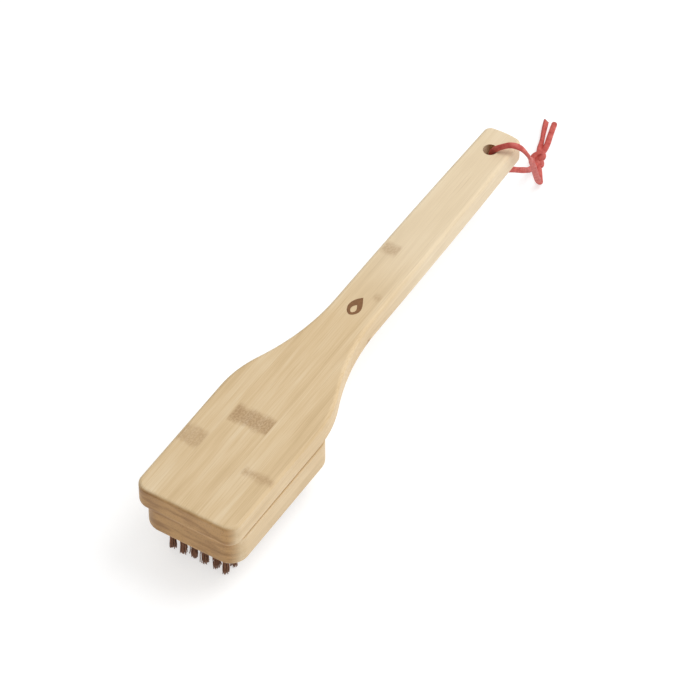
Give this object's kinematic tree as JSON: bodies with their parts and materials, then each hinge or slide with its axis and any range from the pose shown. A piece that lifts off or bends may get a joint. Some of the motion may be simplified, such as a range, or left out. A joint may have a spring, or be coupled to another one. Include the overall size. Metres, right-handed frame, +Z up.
{
  "type": "grill brush",
  "caption": "Paddle-shaped bamboo grill brush: laminated handle board, brush block with wire tufts under the head, and a knotted leather hanging lace.",
  "frame": {"origin": "on the ground under the middle of the board's bounding box, where the tips of the tufts stand", "axes": "+X from the brush head towards the handle's end, +Z up, out of the board's top face"},
  "size_m": [0.3668, 0.0588, 0.0579],
  "materials": {
    "board_bamboo": "sanded, lightly oiled bamboo",
    "block_bamboo": "sanded, lightly oiled bamboo",
    "tuft_wire": "dark browned crimped wire",
    "staple_wire": "drawn flat wire",
    "lace_leather": "dyed, waxed leather lace"
  },
  "bodies": {
    "brush": {"board_back_strip_right": "board_bamboo", "board_back_strip_middle": "board_bamboo", "board_back_strip_left": "board_bamboo", "board_core_strip_right": "board_bamboo", "board_core_strip_middle": "board_bamboo", "board_core_strip_left": "board_bamboo", "board_face_strip_right": "board_bamboo", "board_face_strip_middle": "board_bamboo", "board_face_strip_left": "board_bamboo", "block_lower_strip_right": "block_bamboo", "block_lower_strip_middle": "block_bamboo", "block_lower_strip_left": "block_bamboo", "block_upper_strip_right": "block_bamboo", "block_upper_strip_middle": "block_bamboo", "block_upper_strip_left": "block_bamboo", "tuft_row_01": "tuft_wire", "tuft_row_02": "tuft_wire", "tuft_row_03": "tuft_wire", "tuft_row_04": "tuft_wire", "tuft_row_05": "tuft_wire", "tuft_row_06": "tuft_wire", "tuft_row_07": "tuft_wire", "tuft_row_08": "tuft_wire", "tuft_row_09": "tuft_wire", "tuft_row_10": "tuft_wire", "tuft_row_11": "tuft_wire", "tuft_row_12": "tuft_wire", "tuft_staples": "staple_wire"},
    "lace": {"lace_upper_strand": "lace_leather", "lace_lower_strand": "lace_leather", "lace_knot": "lace_leather", "lace_left_tail": "lace_leather", "lace_right_tail": "lace_leather"}
  },
  "joints": [
    {"name": "lace_swivel", "type": "hinge", "parent": "brush", "child": "lace", "pos_m": [0.1367, 0, 0.043], "axis": [0, 0, 1], "range_deg": [-75, 140]}
  ]
}
